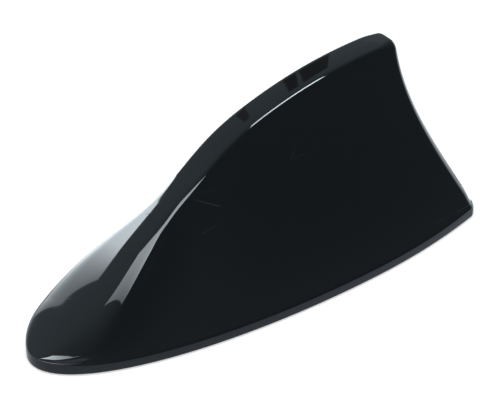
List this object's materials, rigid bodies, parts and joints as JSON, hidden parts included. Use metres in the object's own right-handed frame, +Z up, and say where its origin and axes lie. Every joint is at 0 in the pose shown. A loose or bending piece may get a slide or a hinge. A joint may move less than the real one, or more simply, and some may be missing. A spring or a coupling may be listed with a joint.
{
  "type": "shark fin aerial",
  "caption": "Glossy black shark fin roof aerial for a car, a hollow moulded fin on a flat base with a glued foam pad, with its element and amplifier inside.",
  "frame": {"origin": "centre of the plan box, on the roof's plane under the foam pad", "axes": "+Z up from the roof, +X towards the tail, -X towards the nose"},
  "size_m": [0.16, 0.0646, 0.0641],
  "materials": {
    "gloss_black_plastic": "gloss",
    "matte_black_plastic": "matte",
    "seal_rubber": "matte",
    "pad_foam": "matte",
    "board_laminate": "satin",
    "tinned_sheet": "satin",
    "brass_sheet": "satin",
    "copper_wire": "satin",
    "chip_epoxy": "matte",
    "chip_ceramic": "satin",
    "choke_ferrite": "matte",
    "can_aluminium": "satin",
    "holder_plastic": "matte",
    "zinc_steel": "satin"
  },
  "bodies": {
    "root": {"fin_cover": "gloss_black_plastic", "base_plate": "matte_black_plastic", "cover_seal": "seal_rubber", "roof_pad": "pad_foam", "lead_grommet": "seal_rubber", "ground_plate": "tinned_sheet", "amplifier_board": "board_laminate", "shield_frame": "tinned_sheet", "shield_lid": "tinned_sheet", "amplifier_chip": "chip_epoxy", "chip_parts": "chip_ceramic", "output_choke": "choke_ferrite", "supply_capacitor": "can_aluminium", "element_holder": "holder_plastic", "top_load_plate": "brass_sheet", "loading_coil": "copper_wire", "feed_terminal": "brass_sheet", "cover_screws": "zinc_steel", "board_screws": "zinc_steel", "holder_screws": "zinc_steel"}
  },
  "joints": []
}
